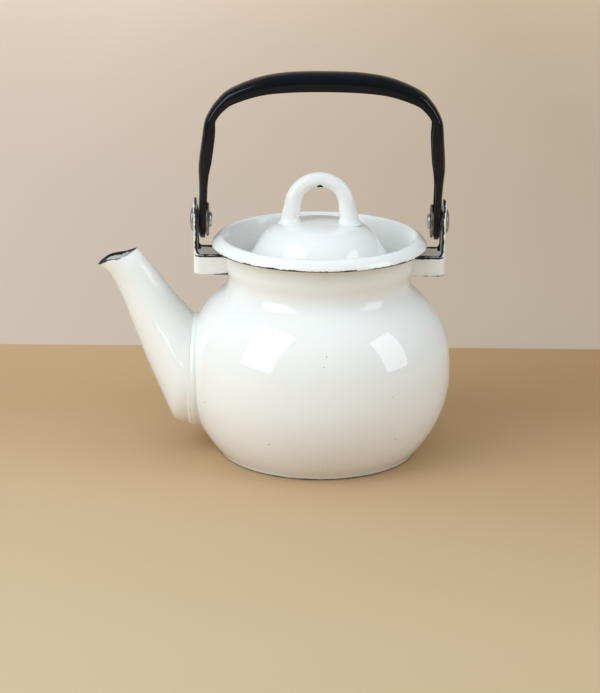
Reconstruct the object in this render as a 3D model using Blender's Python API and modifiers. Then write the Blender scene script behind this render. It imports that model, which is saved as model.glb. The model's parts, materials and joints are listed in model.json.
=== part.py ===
"""Enamelled steel tea kettle with a swinging bail handle and a lid that lifts off.

Metres, +Z up. The origin is the centre of the flat base's underside. The spout points along -X,
and the handle swings about an axis that runs along X through both rivets.
"""

import math

import bmesh
import bpy
from mathutils import Matrix, Vector

# Fits and sheet
GAP = 0.0003
OVERRUN = 0.004
MERGE_DISTANCE = 0.00001
WALL = 0.0013

# Belly, neck and rim of the vessel
BELLY_RADIUS = 0.0800
BELLY_WIDEST_Z = 0.0482
BELLY_RISE_ABOVE = 0.0617
BELLY_DROP_BELOW = 0.0733
BELLY_POWER_ABOVE = 2.52
BELLY_POWER_BELOW = 1.94
BASE_CORNER_RISE = 0.0030
BASE_CORNER_INSET = 0.0046
BASE_CORNER_PULL = 0.0015
NECK_RADIUS = 0.0546
SHOULDER_FILLET_REACH = 0.0075
SHOULDER_FILLET_RISE = 0.0140
NECK_LENGTH = 0.0010
SEAT_FLARE = 0.0016
SEAT_RISE = 0.0060
RIM_CREST_OUTSET = 0.0052
RIM_CREST_RISE = 0.0182
RIM_EDGE_OUTSET = 0.0108
RIM_EDGE_DROP = 0.0053

# Spout, whose mouth reaches out from the front bracket's outer face and rises from the widest line
SPOUT_ROOT_RADIUS = 0.0329
SPOUT_REACH = 0.0576
SPOUT_HEEL_REACH = 0.0348
SPOUT_TIP_RISE = 0.0661
SPOUT_HEEL_RISE = 0.0760
SPOUT_MOUTH_HALF_WIDTH = 0.0073
SPOUT_LIP_WAVE = 0.0012
SPOUT_HOLE_RADIUS = 0.0160
SPOUT_ROOT_DEPTH = 0.0115

# Pivot stack, outwards from the rim
WASHER_RIM_CLEARANCE = 0.0018
INNER_WASHER_THICKNESS = 0.0012
INNER_WASHER_RADIUS = 0.0100
OUTER_WASHER_THICKNESS = 0.0007
OUTER_WASHER_RADIUS = 0.0062
BRACKET_SHEET = 0.0015
RIVET_SHANK_RADIUS = 0.0025
RIVET_HEAD_RADIUS = 0.0070
RIVET_HEAD_HEIGHT = 0.0022
RIVET_INNER_HEAD_RADIUS = 0.0045
RIVET_INNER_HEAD_HEIGHT = 0.0018
RIVET_INNER_CROWN_RADIUS = 0.0032
HINGE_ABOVE_RIM = 0.0088

# Brackets
BRACKET_HALF_WIDTH = 0.0122
BRACKET_CORNER_RADIUS = 0.0045
BRACKET_STRAP_HEIGHT = 0.0115
BRACKET_STRAP_DROP = 0.0195
TAB_HALF_WIDTH = 0.0098
TAB_TOP_ABOVE_HINGE = 0.0130
TAB_FILLET_HEIGHT = 0.0042

# Bail handle
HANDLE_RISE = 0.0885
HANDLE_TONGUE_DROP = 0.0113
HANDLE_BOW_DEPTH = 0.0105
HANDLE_LEG_DEPTH_SHARE = 0.42
HANDLE_BOW_WIDTH = 0.0180
HANDLE_SHEET = 0.0013
HANDLE_LEAN = 0.0026
HANDLE_ROOF_SHARE = 0.62
HANDLE_ROOF_POWER = 2.6
TONGUE_END_DEGREES = (0, 35, 60, 78)

# Lid and its loop
LID_SEAT_OVERLAP = 0.0007
LID_FLANGE_WIDTH = 0.0074
LID_FLANGE_FILLET = 0.0020
LID_FLANGE_FILLET_RISE = 0.0007
LID_CROWN_RISE = 0.0254
LID_CROWN_RADIUS = 0.0150
LID_CROWN_DISH = 0.0010
LID_SHOULDER_RADIUS = 0.0403
LID_FLANK_RADIUS = 0.0283
LID_FLANK_DROP = 0.0028
LOOP_RADIUS = 0.0162
LOOP_FOOT_SPREAD = 0.0175
LOOP_CENTRE_RISE = 0.0119
LOOP_TUBE_TOP_RADIUS = 0.0045
LOOP_TUBE_FOOT_RADIUS = 0.0064
LOOP_TAPER_POWER = 1.3
LOOP_WALL = 0.0012
LOOP_VENT_RADIUS = 0.0013

# How far curves are pulled towards the corners they round
FILLET_PULL_SHARE = 0.55
FUNNEL_PULL_SHARE = 0.7
LIP_CREST_PULL_SHARE = 0.4
LIP_EDGE_PULL_SHARE = 0.2
LIP_DROP_SHARE = 0.45

# Numbers of facets
TURN_STEPS = 40
SMALL_TURN_STEPS = 18
SPOUT_SIDES = 24
BELLY_ROWS = 12
ROOF_STEPS = 8
TUBE_SIDES = 14
LOOP_STEPS = 12
DOME_STEPS = 5
CORNER_STEPS = 5
EAR_STEPS = 6
EAR_FILLET_STEPS = 4

# Colours
WHITE_ENAMEL = (0.86, 0.86, 0.82)
BLACK_ENAMEL = (0.01, 0.01, 0.012)
BRIGHT_STEEL = (0.62, 0.62, 0.60)


def belly_radius(z):
    """Outer radius of the belly at a height, from one superellipse above its widest line and one below."""
    rise = z - BELLY_WIDEST_Z
    reach = BELLY_RISE_ABOVE if rise > 0 else BELLY_DROP_BELOW
    power = BELLY_POWER_ABOVE if rise > 0 else BELLY_POWER_BELOW
    return BELLY_RADIUS * (1 - (abs(rise) / reach) ** power) ** (1 / power)


def belly_height(radius):
    """Height above the widest line at which the belly has narrowed to a radius."""
    share = (1 - (radius / BELLY_RADIUS) ** BELLY_POWER_ABOVE) ** (1 / BELLY_POWER_ABOVE)
    return BELLY_WIDEST_Z + BELLY_RISE_ABOVE * share


# Heights and radii that follow from the sizes above
SHOULDER_Z = belly_height(NECK_RADIUS + SHOULDER_FILLET_REACH)
NECK_BOTTOM_Z = SHOULDER_Z + SHOULDER_FILLET_RISE
SEAT_Z = NECK_BOTTOM_Z + NECK_LENGTH
SEAT_TOP_Z = SEAT_Z + SEAT_RISE
RIM_CREST_Z = SEAT_TOP_Z + RIM_CREST_RISE
NECK_BORE = NECK_RADIUS - WALL
FUNNEL_BORE = NECK_BORE + SEAT_FLARE
RIM_CREST_RADIUS = NECK_BORE + RIM_CREST_OUTSET
RIM_EDGE_RADIUS = NECK_BORE + RIM_EDGE_OUTSET
HINGE_Z = RIM_CREST_Z + HINGE_ABOVE_RIM

# Distances from the kettle's axis along the pivot, and heights of the brackets' parts
INNER_WASHER_X = RIM_EDGE_RADIUS + WASHER_RIM_CLEARANCE
LEG_INNER_X = INNER_WASHER_X + INNER_WASHER_THICKNESS + GAP
LEG_OUTER_X = LEG_INNER_X + HANDLE_BOW_DEPTH * HANDLE_LEG_DEPTH_SHARE
OUTER_WASHER_X = LEG_OUTER_X + GAP
TAB_INNER_X = OUTER_WASHER_X + OUTER_WASHER_THICKNESS + GAP
TAB_OUTER_X = TAB_INNER_X + BRACKET_SHEET
RIVET_HEAD_X = TAB_OUTER_X + GAP
RIVET_INNER_HEAD_X = INNER_WASHER_X - GAP
SPOUT_TIP_X = TAB_OUTER_X + SPOUT_REACH
SPOUT_HEEL_X = TAB_OUTER_X + SPOUT_HEEL_REACH
STRAP_TOP_Z = HINGE_Z - BRACKET_STRAP_DROP
STRAP_FLOOR_Z = STRAP_TOP_Z - BRACKET_STRAP_HEIGHT
TAB_TOP_Z = HINGE_Z + TAB_TOP_ABOVE_HINGE

# Outline of the spout, root to mouth: forward and up along its lower line, forward and up along its
# upper line, and how much of the way the half width lies from the mouth's to the root's
SPOUT_STATION_SHARES = (
    (0.030, 0.008, 0.040, -0.012, 1.000),
    (0.080, 0.018, 0.106, 0.020, 0.985),
    (0.150, 0.021, 0.146, 0.057, 0.950),
    (0.234, 0.052, 0.183, 0.104, 0.885),
    (0.351, 0.205, 0.290, 0.207, 0.720),
    (0.478, 0.381, 0.424, 0.346, 0.510),
    (0.615, 0.594, 0.585, 0.532, 0.290),
    (0.761, 0.813, 0.768, 0.732, 0.115),
    (0.884, 0.937, 0.883, 0.862, 0.045),
    (1.000, 1.000, 1.000, 1.000, 0.000),
)
SPOUT_LIP_START_SHARE = SPOUT_STATION_SHARES[-2][0]

# Line of the handle's outer face from the middle of the bow to above the pivot: across, up, depth
# and width, as shares of the leg's distance, the handle's rise, the bow's depth and its width
HANDLE_STATION_SHARES = (
    (0.000, 1.000, 1.00, 1.00),
    (0.306, 0.992, 0.99, 1.00),
    (0.554, 0.955, 0.89, 1.00),
    (0.779, 0.877, 0.75, 0.98),
    (0.884, 0.797, 0.62, 0.94),
    (0.947, 0.716, 0.56, 0.91),
    (0.974, 0.655, 0.61, 0.91),
    (0.989, 0.554, 0.70, 0.94),
    (1.011, 0.373, 0.69, 0.92),
    (1.004, 0.250, 0.48, 0.85),
    (1.000, 0.120, HANDLE_LEG_DEPTH_SHARE, 0.83),
    (1.000, 0.000, HANDLE_LEG_DEPTH_SHARE, 0.83),
)


def clear_scene():
    """Remove whatever objects the file opened with."""
    for item in list(bpy.data.objects):
        bpy.data.objects.remove(item, do_unlink=True)


def make_collection(name):
    """Return a new collection linked to the scene."""
    group = bpy.data.collections.new(name)
    bpy.context.scene.collection.children.link(group)
    return group


def make_material(name, colour, roughness, metallic=0.0):
    """Return a Principled material of one colour."""
    material = bpy.data.materials.new(name)
    material.use_nodes = True
    shader = material.node_tree.nodes["Principled BSDF"]
    shader.inputs["Base Color"].default_value = (*colour, 1.0)
    shader.inputs["Roughness"].default_value = roughness
    shader.inputs["Metallic"].default_value = metallic
    return material


def add_object(name, mesh, group, material=None):
    """Put a mesh in the scene as a named object, shaded smooth but for its sharp edges."""
    item = bpy.data.objects.new(name, mesh)
    group.objects.link(item)
    if material is not None:
        mesh.materials.append(material)
        mesh.shade_smooth()
        mesh.set_sharp_from_angle(angle=math.radians(40))
    else:
        item.display_type = "WIRE"
        item.hide_render = True
    return item


def bezier(start, first, second, end, count):
    """Points along a cubic curve from start, which is left out, to end."""
    points = []
    for index in range(1, count + 1):
        t = index / count
        s = 1 - t
        weights = (s ** 3, 3 * s * s * t, 3 * s * t * t, t ** 3)
        knots = (start, first, second, end)
        points.append(tuple(sum(w * k[axis] for w, k in zip(weights, knots)) for axis in (0, 1)))
    return points


def offset_line(points, distance):
    """Shift an outline of (radius, height) points sideways, to the right of its direction if positive."""
    shifted = []
    for index, point in enumerate(points):
        before = points[max(index - 1, 0)]
        after = points[min(index + 1, len(points) - 1)]
        run, rise = after[0] - before[0], after[1] - before[1]
        length = math.hypot(run, rise)
        shifted.append((point[0] + distance * rise / length, point[1] - distance * run / length))
    return shifted


def smooth_keys(keys, per_span):
    """Points of any width on a smooth curve through the keys, with so many steps between two keys."""
    points = []
    last = len(keys) - 1
    for index in range(last):
        before, start = keys[max(index - 1, 0)], keys[index]
        end, after = keys[index + 1], keys[min(index + 2, last)]
        for step in range(per_span):
            t = step / per_span
            points.append(tuple(
                0.5 * (2 * b + (c - a) * t + (2 * a - 5 * b + 4 * c - d) * t * t
                       + (3 * b - a - 3 * c + d) * t ** 3)
                for a, b, c, d in zip(before, start, end, after)))
    points.append(tuple(keys[last]))
    return points


def turned(name, outline, steps, group, material=None, ring=False):
    """Turn an outline of (radius, height) points about Z. A ring's outline is closed on itself."""
    mesh = bpy.data.meshes.new(name)
    count = len(outline)
    edges = [(index, index + 1) for index in range(count - 1)]
    if ring:
        edges.append((count - 1, 0))
    mesh.from_pydata([(radius, 0, height) for radius, height in outline], edges, [])
    item = add_object(name, mesh, group, material)
    screw = item.modifiers.new("turn", "SCREW")
    screw.axis = "Z"
    screw.angle = math.tau
    screw.steps = steps
    screw.render_steps = steps
    screw.use_merge_vertices = True
    screw.merge_threshold = MERGE_DISTANCE
    screw.use_smooth_shade = material is not None
    return item


def loft(name, rings, group, material=None, capped=True):
    """Join rings of as many points each into one skin, closed at both ends if it is capped."""
    frame = bmesh.new()
    rows = [[frame.verts.new(point) for point in ring] for ring in rings]
    sides = len(rows[0])
    for low, high in zip(rows, rows[1:]):
        for index in range(sides):
            after = (index + 1) % sides
            frame.faces.new((low[index], low[after], high[after], high[index]))
    if capped:
        frame.faces.new(list(reversed(rows[0])))
        frame.faces.new(rows[-1])
    bmesh.ops.recalc_face_normals(frame, faces=frame.faces)
    mesh = bpy.data.meshes.new(name)
    frame.to_mesh(mesh)
    frame.free()
    return add_object(name, mesh, group, material)


def curve_to_mesh(name, curve, group, material=None):
    """Turn a curve object into a mesh object with welded caps and remove the curve."""
    bpy.context.view_layer.update()
    evaluated = curve.evaluated_get(bpy.context.evaluated_depsgraph_get())
    mesh = bpy.data.meshes.new_from_object(evaluated)
    mesh.name = name
    frame = bmesh.new()
    frame.from_mesh(mesh)
    bmesh.ops.remove_doubles(frame, verts=frame.verts, dist=MERGE_DISTANCE)
    bmesh.ops.recalc_face_normals(frame, faces=frame.faces)
    frame.to_mesh(mesh)
    frame.free()
    mesh.materials.clear()
    item = add_object(name, mesh, group, material)
    item.matrix_world = curve.matrix_world.copy()
    bpy.data.objects.remove(curve, do_unlink=True)
    return item


def plate(name, outline, thickness, placing, group, material=None):
    """A flat plate with an outline of (across, up) points, centred on the plane that placing gives."""
    shape = bpy.data.curves.new(name, "CURVE")
    shape.dimensions = "2D"
    shape.fill_mode = "BOTH"
    shape.extrude = thickness / 2
    line = shape.splines.new("POLY")
    line.points.add(len(outline) - 1)
    line.use_cyclic_u = True
    for knot, (across, up) in zip(line.points, outline):
        knot.co = (across, up, 0, 1)
    curve = bpy.data.objects.new(name + "_outline", shape)
    group.objects.link(curve)
    curve.matrix_world = placing
    return curve_to_mesh(name, curve, group, material)


def combine(item, other, operation="DIFFERENCE"):
    """Cut an object with another, or keep what they share."""
    cut = item.modifiers.new(other.name, "BOOLEAN")
    cut.operation = operation
    cut.solver = "EXACT"
    cut.object = other


def rod(name, radius, start, end, group):
    """A cutter rod along a line from one point to another."""
    start, end = Vector(start), Vector(end)
    half_step = Matrix.Rotation(math.pi / SMALL_TURN_STEPS, 4, "Z")
    frame = bmesh.new()
    bmesh.ops.create_cone(frame, cap_ends=True, segments=SMALL_TURN_STEPS, radius1=radius,
                          radius2=radius, depth=(end - start).length, matrix=half_step)
    mesh = bpy.data.meshes.new(name)
    frame.to_mesh(mesh)
    frame.free()
    item = add_object(name, mesh, group)
    item.rotation_mode = "QUATERNION"
    item.rotation_quaternion = (end - start).to_track_quat("Z", "Y")
    item.location = (start + end) / 2
    return item


def belly_line():
    """Outer line of the vessel from the base's corner to the top of the neck."""
    start = (belly_radius(BASE_CORNER_RISE) - BASE_CORNER_INSET, 0)
    belly_foot = (belly_radius(BASE_CORNER_RISE), BASE_CORNER_RISE)
    corner = (belly_foot[0] - BASE_CORNER_PULL, 0)
    points = [start] + bezier(start, corner, corner, belly_foot, 3)
    span = SHOULDER_Z - BASE_CORNER_RISE
    for index in range(1, BELLY_ROWS + 1):
        turn = math.pi * index / BELLY_ROWS
        z = BASE_CORNER_RISE + span * (1 - math.cos(turn)) / 2
        points.append((belly_radius(z), z))
    shoulder, before = points[-1], points[-2]
    steepness = (shoulder[1] - before[1]) / (before[0] - shoulder[0])
    bend_z = shoulder[1] + SHOULDER_FILLET_REACH * steepness
    leaving = (shoulder[0] - SHOULDER_FILLET_REACH * FILLET_PULL_SHARE,
               shoulder[1] + (bend_z - shoulder[1]) * FILLET_PULL_SHARE)
    arriving = (NECK_RADIUS, NECK_BOTTOM_Z + (bend_z - NECK_BOTTOM_Z) * FILLET_PULL_SHARE)
    points += bezier(shoulder, leaving, arriving, (NECK_RADIUS, NECK_BOTTOM_Z), 4)
    points.append((NECK_RADIUS, SEAT_Z))
    return points


def rim_line():
    """Inner line of the neck's top: the lid's seat, the funnel, the crest and the drooping lip."""
    neck = (NECK_BORE, SEAT_Z)
    seat = (FUNNEL_BORE, SEAT_TOP_Z)
    crest = (RIM_CREST_RADIUS, RIM_CREST_Z)
    edge = (RIM_EDGE_RADIUS, RIM_CREST_Z - RIM_EDGE_DROP)
    lip_width = RIM_EDGE_OUTSET - RIM_CREST_OUTSET
    points = [neck, seat]
    points += bezier(seat, (FUNNEL_BORE, SEAT_TOP_Z + RIM_CREST_RISE * FUNNEL_PULL_SHARE),
                     (RIM_CREST_RADIUS - lip_width / 2, RIM_CREST_Z), crest, 5)
    points += bezier(crest, (RIM_CREST_RADIUS + lip_width * LIP_CREST_PULL_SHARE, RIM_CREST_Z),
                     (RIM_EDGE_RADIUS - lip_width * LIP_EDGE_PULL_SHARE,
                      RIM_CREST_Z - RIM_EDGE_DROP * LIP_DROP_SHARE), edge, 4)
    return points


def make_envelope(cutters):
    """The space the vessel fills up to its seat, grown by the fitting gap, which trims what is welded on."""
    grown = offset_line(belly_line() + offset_line(rim_line(), WALL)[1:4], GAP)
    top, foot = grown[-1], grown[0]
    outline = [(0, top[1])] + grown[::-1] + [(foot[0], -OVERRUN), (0, -OVERRUN)]
    return turned("vessel_envelope", outline, TURN_STEPS, cutters)


def make_kettle_body(parts, cutters, enamel):
    """The vessel: flat base, round belly, short neck, lid seat and drooping rim, with the spout's opening."""
    low, high = belly_line(), rim_line()
    inner = [(0, WALL)] + offset_line(low, -WALL)[:-1] + high
    outer = (low[:-1] + offset_line(high, WALL))[::-1] + [(0, 0)]
    body = turned("kettle_body", inner + outer, TURN_STEPS, parts, enamel)
    hole = rod("spout_hole", SPOUT_HOLE_RADIUS, (-BELLY_RADIUS - OVERRUN, 0, BELLY_WIDEST_Z),
               (-BELLY_RADIUS / 2, 0, BELLY_WIDEST_Z), cutters)
    combine(body, hole)
    return body


def spout_ring(station, root_x):
    """One section of the spout: an oval between its lower and its upper line."""
    low_out, low_up, high_out, high_up, width = station
    foot, top = -SPOUT_ROOT_RADIUS, SPOUT_ROOT_RADIUS
    low = Vector((-root_x - (SPOUT_TIP_X - root_x) * low_out, 0,
                  BELLY_WIDEST_Z + foot + (SPOUT_TIP_RISE - foot) * low_up))
    high = Vector((-root_x - (SPOUT_HEEL_X - root_x) * high_out, 0,
                   BELLY_WIDEST_Z + top + (SPOUT_HEEL_RISE - top) * high_up))
    half_width = SPOUT_MOUTH_HALF_WIDTH + (SPOUT_ROOT_RADIUS - SPOUT_MOUTH_HALF_WIDTH) * width
    wave = SPOUT_LIP_WAVE * max(0, (low_out - SPOUT_LIP_START_SHARE) / (1 - SPOUT_LIP_START_SHARE))
    ring = []
    for index in range(SPOUT_SIDES):
        turn = math.tau * index / SPOUT_SIDES
        along = (1 - math.cos(turn)) / 2
        point = low.lerp(high, along)
        point.y = half_width * math.sin(turn)
        point.z += wave * math.sin(math.tau * along)
        ring.append(point)
    return ring


def make_spout(parts, envelope, enamel):
    """The spout: a hollow shell from a round root on the belly to a narrow, slanted mouth."""
    root_x = math.sqrt(BELLY_RADIUS ** 2 - SPOUT_ROOT_RADIUS ** 2)
    rings = [spout_ring(station, root_x) for station in smooth_keys(SPOUT_STATION_SHARES, 2)]
    inside = [point + Vector((SPOUT_ROOT_DEPTH, 0, 0)) for point in rings[0]]
    spout = loft("spout", [inside] + rings, parts, enamel, capped=False)
    shell = spout.modifiers.new("wall", "SOLIDIFY")
    shell.thickness = WALL
    shell.offset = -1
    combine(spout, envelope)
    return spout


def arc(centre, radius, first, last, count):
    """Points on an arc about a centre, both ends included, angles in degrees."""
    points = []
    for index in range(count + 1):
        angle = math.radians(first + (last - first) * index / count)
        points.append((centre[0] + radius * math.cos(angle), centre[1] + radius * math.sin(angle)))
    return points


def strap_plan():
    """The strap seen from above: a U open towards the neck, its end wall at the tab's place."""
    neck_end = NECK_RADIUS / 2
    outer_radius, inner_radius = BRACKET_CORNER_RADIUS, BRACKET_CORNER_RADIUS - BRACKET_SHEET
    corner = (TAB_OUTER_X - BRACKET_CORNER_RADIUS, BRACKET_HALF_WIDTH - BRACKET_CORNER_RADIUS)
    outer = arc(corner, outer_radius, 90, 0, CORNER_STEPS)
    inner = arc(corner, inner_radius, 0, 90, CORNER_STEPS)
    half = [(neck_end, BRACKET_HALF_WIDTH)] + outer
    back = inner + [(neck_end, BRACKET_HALF_WIDTH - BRACKET_SHEET)]
    return half + [(x, -y) for x, y in half[::-1]] + [(x, -y) for x, y in back[::-1]] + back


def ear_outline():
    """The bracket seen from its end: a strap with an ear that has a round top, joined by fillets."""
    round_centre = (0, TAB_TOP_Z - TAB_HALF_WIDTH)
    beyond = BRACKET_HALF_WIDTH + OVERRUN
    reach = BRACKET_HALF_WIDTH - TAB_HALF_WIDTH
    fillet = []
    for index in range(EAR_FILLET_STEPS + 1):
        turn = math.pi / 2 * index / EAR_FILLET_STEPS
        fillet.append((BRACKET_HALF_WIDTH - reach * math.sin(turn),
                       STRAP_TOP_Z + TAB_FILLET_HEIGHT * (1 - math.cos(turn))))
    top = arc(round_centre, TAB_HALF_WIDTH, 0, 90, EAR_STEPS)
    half = [(beyond, STRAP_FLOOR_Z), (beyond, STRAP_TOP_Z)] + fillet + top
    return half + [(-across, up) for across, up in half[-2::-1]]


def make_bracket(name, side, parts, cutters, envelope, enamel):
    """One handle bracket: a bent strap welded to the neck, with an ear drilled for the rivet."""
    plan = [(side * x, y) for x, y in strap_plan()]
    lift = Matrix.Translation((0, 0, (TAB_TOP_Z + STRAP_FLOOR_Z) / 2))
    bracket = plate(name, plan, TAB_TOP_Z - STRAP_FLOOR_Z, lift, parts, enamel)
    end_view = Matrix(((0, 0, 1, side * TAB_OUTER_X / 2), (1, 0, 0, 0), (0, 1, 0, 0), (0, 0, 0, 1)))
    ear = plate(name + "_ear", ear_outline(), TAB_OUTER_X + OVERRUN, end_view, cutters)
    combine(bracket, ear, "INTERSECT")
    combine(bracket, envelope)
    hole = rod(name + "_hole", RIVET_SHANK_RADIUS + GAP, (side * INNER_WASHER_X, 0, HINGE_Z),
               (side * (TAB_OUTER_X + OVERRUN), 0, HINGE_Z), cutters)
    combine(bracket, hole)
    return bracket


def handle_rings(inset, beyond):
    """Sections of the channel from tongue to tongue over the bow, set in by the sheet for its inside."""
    keys = [(a, u, d, w) for a, u, d, w in HANDLE_STATION_SHARES]
    whole = [(-a, u, d, w) for a, u, d, w in keys[::-1]] + keys[1:]
    stations = smooth_keys(whole, 2)
    leg_half_width = keys[-1][3] * HANDLE_BOW_WIDTH / 2
    tongue_centre = HANDLE_TONGUE_DROP - leg_half_width
    line = [(a * LEG_OUTER_X + u * HANDLE_LEAN, u * HANDLE_RISE) for a, u, d, w in stations]
    rings = []
    for index, (across, up) in enumerate(line):
        before, after = line[max(index - 1, 0)], line[min(index + 1, len(line) - 1)]
        tangent = Vector((after[0] - before[0], 0, after[1] - before[1])).normalized()
        inward = Vector((tangent.z, 0, -tangent.x))
        depth = stations[index][2] * HANDLE_BOW_DEPTH
        half_width = stations[index][3] * HANDLE_BOW_WIDTH / 2
        rings.append(channel_section(Vector((across, 0, up)), inward, depth, half_width, inset, beyond))
    ends = []
    for side, outermost in ((-1, rings[0]), (1, rings[-1])):
        tip = []
        for degrees in TONGUE_END_DEGREES:
            turn = math.radians(degrees)
            radius = leg_half_width - inset
            foot = Vector((side * LEG_OUTER_X, 0, -tongue_centre - radius * math.sin(turn)))
            half_width = inset + radius * math.cos(turn)
            depth = keys[-1][2] * HANDLE_BOW_DEPTH
            tip.append(channel_section(foot, Vector((-side, 0, 0)), depth, half_width, inset, beyond))
        ends.append(tip)
    return ends[0][::-1] + rings + ends[1]


def channel_section(crown, inward, depth, half_width, inset, beyond):
    """One section: a rounded roof over straight sides, open inwards. Inset and beyond shape the cutter."""
    roof = depth * HANDLE_ROOF_SHARE
    ring = []
    for index in range(ROOF_STEPS + 1):
        turn = math.pi * index / ROOF_STEPS
        power = 2 / HANDLE_ROOF_POWER
        across = (half_width - inset) * math.copysign(abs(math.cos(turn)) ** power, math.cos(turn))
        down = roof - (roof - inset) * math.sin(turn) ** power
        ring.append(crown + inward * down + Vector((0, across, 0)))
    for across in (-1, 1):
        ring.append(crown + inward * (depth + beyond) + Vector((0, across * (half_width - inset), 0)))
    return ring


def make_handle(parts, cutters, enamel):
    """The bail handle: a bent steel channel, open inwards, with a rivet hole in each leg."""
    handle = loft("handle", handle_rings(0, 0), parts, enamel)
    handle.location = (0, 0, HINGE_Z)
    inside = loft("handle_inside", handle_rings(HANDLE_SHEET, OVERRUN), cutters)
    inside.location = handle.location
    combine(handle, inside)
    bore = rod("handle_bore", RIVET_SHANK_RADIUS + GAP, (-TAB_OUTER_X, 0, HINGE_Z),
               (TAB_OUTER_X, 0, HINGE_Z), cutters)
    combine(handle, bore)
    return handle


def face_outwards(item, side):
    """Turn a piece made about Z so that its Z points away from the kettle along the pivot's axis."""
    item.rotation_euler = (0, side * math.pi / 2, 0)
    item.location = (0, 0, HINGE_Z)


def make_rivet(name, side, parts, steel):
    """One rivet: a low dome outside the ear, a shank through the stack and a small head inside."""
    foot = RIVET_INNER_HEAD_X - RIVET_INNER_HEAD_HEIGHT
    dome = []
    for index in range(DOME_STEPS):
        turn = math.pi / 2 * index / DOME_STEPS
        dome.append((RIVET_HEAD_RADIUS * math.sin(turn),
                     RIVET_HEAD_X + RIVET_HEAD_HEIGHT * math.cos(turn)))
    outline = dome + [
        (RIVET_HEAD_RADIUS, RIVET_HEAD_X),
        (RIVET_SHANK_RADIUS, RIVET_HEAD_X),
        (RIVET_SHANK_RADIUS, RIVET_INNER_HEAD_X),
        (RIVET_INNER_HEAD_RADIUS, RIVET_INNER_HEAD_X),
        (RIVET_INNER_HEAD_RADIUS, foot + RIVET_INNER_HEAD_HEIGHT / 2),
        (RIVET_INNER_CROWN_RADIUS, foot),
        (0, foot),
    ]
    rivet = turned(name, outline, SMALL_TURN_STEPS, parts, steel)
    face_outwards(rivet, side)
    return rivet


def make_washer(name, side, radius, near, thickness, parts, steel):
    """One flat washer round the rivet's shank."""
    bore = RIVET_SHANK_RADIUS + GAP
    outline = [(bore, near + thickness), (radius, near + thickness), (radius, near), (bore, near)]
    washer = turned(name, outline, SMALL_TURN_STEPS, parts, steel, ring=True)
    face_outwards(washer, side)
    return washer


def lid_line():
    """Upper line of the lid from its slightly dished crown to the outer edge of its flange."""
    flange_radius = NECK_BORE + LID_SEAT_OVERLAP
    slope = math.atan2(SEAT_RISE, SEAT_FLARE)
    rest_z = SEAT_Z + (LID_SEAT_OVERLAP + GAP / math.sin(slope)) * math.tan(slope)
    flange_top = rest_z + WALL
    crown_z = flange_top + LID_CROWN_RISE
    centre = (0, crown_z - LID_CROWN_DISH)
    ring = (LID_CROWN_RADIUS, crown_z)
    foot = (flange_radius - LID_FLANGE_WIDTH, flange_top)
    points = [centre]
    points += bezier(centre, (LID_CROWN_RADIUS / 2, centre[1]), (LID_CROWN_RADIUS / 2, crown_z), ring, 3)
    points += bezier(ring, (LID_SHOULDER_RADIUS, crown_z), (LID_FLANK_RADIUS, crown_z - LID_FLANK_DROP),
                     foot, 9)
    points[-1] = (foot[0], foot[1] + LID_FLANGE_FILLET_RISE)
    points += [(foot[0] + LID_FLANGE_FILLET, flange_top), (flange_radius, flange_top)]
    return points


def make_lid(parts, cutters, enamel):
    """The lid: a pressed dome with a flat flange that rests in the neck's seat, and its loop."""
    line = lid_line()
    under = offset_line(line, WALL)
    under[0] = (0, under[0][1])
    shell = turned("lid_shell", line + under[::-1], TURN_STEPS, parts, enamel)
    grown = offset_line(line, -GAP)
    floor = line[-1][1] - OVERRUN
    outline = [(0, grown[0][1])] + grown[1:] + [(grown[-1][0], floor), (0, floor)]
    trim = turned("lid_envelope", outline, TURN_STEPS, cutters)
    loop = make_loop(line[0][1], parts, cutters, enamel)
    combine(loop, trim)
    return shell, loop


def make_loop(crown_z, parts, cutters, enamel):
    """The lid's finger loop: a hollow arch that stands on the crown, with a vent under its top."""
    centre_z = crown_z + LOOP_CENTRE_RISE
    foot_z = crown_z - OVERRUN
    path = [(-LOOP_FOOT_SPREAD, foot_z), (-LOOP_FOOT_SPREAD, crown_z)]
    path += arc((0, centre_z), LOOP_RADIUS, 180, 0, LOOP_STEPS)
    path += [(LOOP_FOOT_SPREAD, crown_z), (LOOP_FOOT_SPREAD, foot_z)]
    shape = bpy.data.curves.new("lid_loop", "CURVE")
    shape.dimensions = "3D"
    shape.bevel_depth = LOOP_TUBE_TOP_RADIUS
    shape.bevel_resolution = TUBE_SIDES // 4
    line = shape.splines.new("POLY")
    line.points.add(len(path) - 1)
    top_z = centre_z + LOOP_RADIUS
    for knot, (x, z) in zip(line.points, path):
        low = min(max((top_z - z) / (top_z - crown_z), 0), 1)
        knot.co = (x, 0, z, 1)
        knot.radius = 1 + (LOOP_TUBE_FOOT_RADIUS / LOOP_TUBE_TOP_RADIUS - 1) * low ** LOOP_TAPER_POWER
    curve = bpy.data.objects.new("lid_loop_path", shape)
    parts.objects.link(curve)
    loop = curve_to_mesh("lid_loop", curve, parts, enamel)
    shell = loop.modifiers.new("wall", "SOLIDIFY")
    shell.thickness = LOOP_WALL
    shell.offset = -1
    vent = rod("loop_vent", LOOP_VENT_RADIUS, (0, 0, centre_z),
               (0, 0, centre_z + LOOP_RADIUS), cutters)
    combine(loop, vent)
    return loop


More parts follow.
